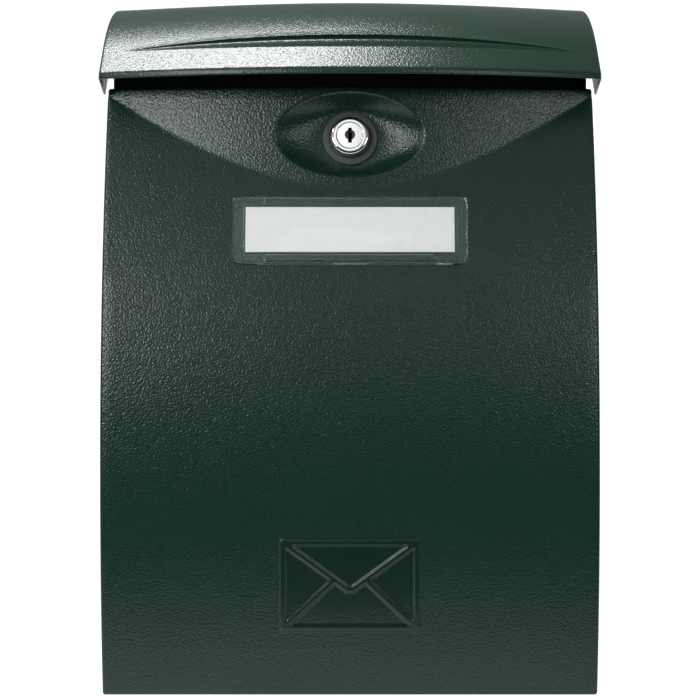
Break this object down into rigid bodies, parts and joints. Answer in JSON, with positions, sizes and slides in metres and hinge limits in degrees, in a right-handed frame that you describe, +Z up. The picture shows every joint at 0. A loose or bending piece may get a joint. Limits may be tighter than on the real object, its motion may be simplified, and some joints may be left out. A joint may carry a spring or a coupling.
{
  "type": "wall mounted mailbox",
  "caption": "Wall mounted sheet steel mailbox with a bowed hinged lid, a drop-down locking front door, a cam lock in an oval dish and a clear name plate.",
  "frame": {"origin": "centre of the four wall screw holes, on the back face of the shell", "axes": "+Y into the wall, so the front faces -Y; +X to the right as seen from the front; +Z up"},
  "size_m": [0.259, 0.1216, 0.3688],
  "materials": {
    "green_powder_coat": "satin, fine textured powder coat",
    "zinc_plate": "bright zinc plate",
    "lock_chrome": "polished chrome plate",
    "wafer_brass": "stamped",
    "bezel_plastic": "satin grey",
    "nylon": "natural nylon",
    "clear_plastic": "clear, moulded",
    "label_paper": "plain white"
  },
  "bodies": {
    "shell": {"body_shell": "green_powder_coat", "strike_rail": "green_powder_coat", "rail_rivets": "zinc_plate", "door_hinge_rod": "zinc_plate", "lid_hinge_rod": "zinc_plate", "lid_spacers": "nylon"},
    "lid": {"lid": "green_powder_coat"},
    "door": {"front_door": "green_powder_coat", "lock_bezel": "bezel_plastic", "lock_barrel": "lock_chrome", "lock_nut": "zinc_plate", "name_plate_cover": "clear_plastic", "name_label": "label_paper"},
    "plug": {"lock_plug": "lock_chrome", "lock_wafers": "wafer_brass", "lock_cam": "zinc_plate", "lock_cam_washer": "zinc_plate", "lock_cam_screw": "zinc_plate"}
  },
  "joints": [
    {"name": "lid_hinge", "type": "hinge", "parent": "shell", "child": "lid", "pos_m": [0, -0.009, 0.184], "axis": [-1, 0, 0], "range_deg": [0, 80]},
    {"name": "door_hinge", "type": "hinge", "parent": "shell", "child": "door", "pos_m": [0, -0.0915, -0.1743], "axis": [1, 0, 0], "range_deg": [0, 90]},
    {"name": "lock_turn", "type": "hinge", "parent": "door", "child": "plug", "pos_m": [0, -0.0806, 0.1107], "axis": [0, -0.9917, 0.1288], "range_deg": [0, 90]}
  ]
}
